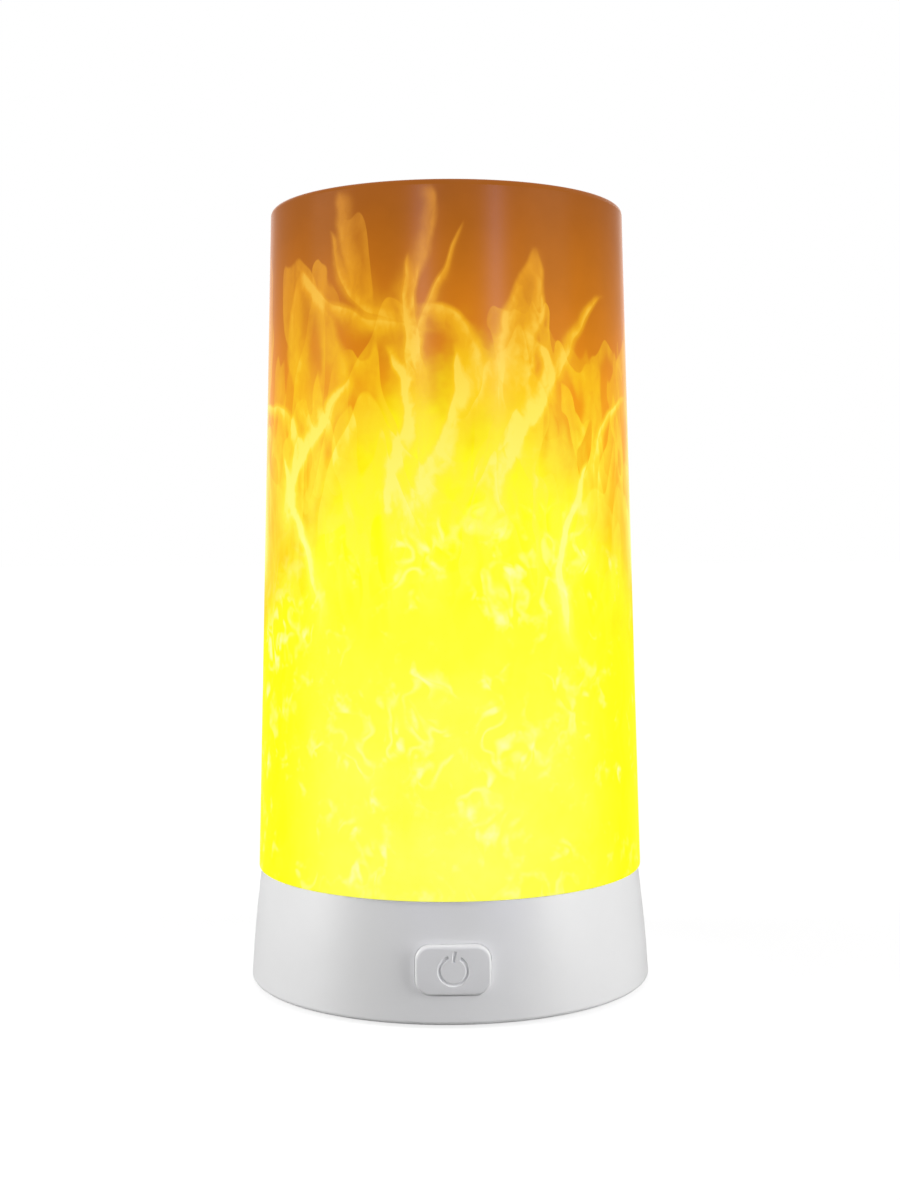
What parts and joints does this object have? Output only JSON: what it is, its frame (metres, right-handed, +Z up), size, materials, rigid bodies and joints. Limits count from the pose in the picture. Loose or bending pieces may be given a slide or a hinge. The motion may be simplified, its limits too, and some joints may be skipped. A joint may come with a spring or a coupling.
{
  "type": "flame effect lamp",
  "caption": "Cordless table lamp: a tapering frosted shade lit from inside as a moving flame, on a flared round base with a push button in front and a charging socket behind.",
  "frame": {"origin": "middle of the lamp's footprint, on the surface that it stands on", "axes": "+Z up the lamp's axis, -Y towards the front with the push button, +X to the right seen from the front"},
  "size_m": [0.0819, 0.082, 0.1563],
  "materials": {
    "shade_plastic": "frosted polycarbonate, lit from inside",
    "base_plastic": "white ABS, fine satin texture",
    "button_silicone": "white silicone, satin",
    "seal_silicone": "translucent silicone",
    "foot_rubber": "pale grey rubber, matt",
    "screw_steel": "zinc-plated steel",
    "switch_plastic": "moulded nylon",
    "plunger_plastic": "moulded acetal",
    "board_laminate": "green solder mask on glass-fibre laminate",
    "socket_steel": "nickel-plated stainless steel",
    "insert_plastic": "moulded liquid-crystal polymer",
    "chip_plastic": "moulded epoxy",
    "inductor_ferrite": "moulded ferrite",
    "connector_plastic": "natural nylon",
    "core_plastic": "white ABS",
    "flex_film": "white-coated polyimide film",
    "led_package": "silicone over phosphor",
    "cell_wrap": "shrunk film over the steel can",
    "nickel_strip": "nickel strip",
    "foam": "closed-cell foam",
    "lead_red": "silicone insulation",
    "lead_black": "silicone insulation"
  },
  "bodies": {
    "lamp": {"base_housing": "base_plastic", "battery_cell": "cell_wrap", "battery_lead_black": "lead_black", "battery_lead_red": "lead_red", "battery_plug": "connector_plastic", "battery_socket": "connector_plastic", "board_screw_1": "screw_steel", "board_screw_2": "screw_steel", "board_screw_3": "screw_steel", "board_screw_4": "screw_steel", "boost_inductor": "inductor_ferrite", "bottom_cover": "base_plastic", "cell_pad": "foam", "cell_tab_bottom": "nickel_strip", "cell_tab_top": "nickel_strip", "charger_chip": "chip_plastic", "control_board": "board_laminate", "controller_chip": "chip_plastic", "core_cap": "core_plastic", "core_screw_1": "screw_steel", "core_screw_2": "screw_steel", "core_screw_3": "screw_steel", "cover_screw_1": "screw_steel", "cover_screw_2": "screw_steel", "cover_screw_3": "screw_steel", "cover_screw_4": "screw_steel", "foot_1": "foot_rubber", "foot_2": "foot_rubber", "foot_3": "foot_rubber", "foot_4": "foot_rubber", "led_core": "core_plastic", "led_flex": "flex_film", "led_row_1": "led_package", "led_row_2": "led_package", "led_row_3": "led_package", "led_row_4": "led_package", "led_row_5": "led_package", "led_row_6": "led_package", "led_row_7": "led_package", "led_row_8": "led_package", "led_row_9": "led_package", "led_socket": "connector_plastic", "shade": "shade_plastic", "shade_seal": "seal_silicone", "switch_body": "switch_plastic", "usb_insert": "insert_plastic", "usb_shell": "socket_steel"},
    "button": {"power_button": "button_silicone", "switch_plunger": "plunger_plastic"}
  },
  "joints": [
    {"name": "button_press", "type": "slide", "parent": "lamp", "child": "button", "axis": [0, 1, 0], "range_m": [0, 0.0005], "stiffness_N_per_m": 2000}
  ]
}
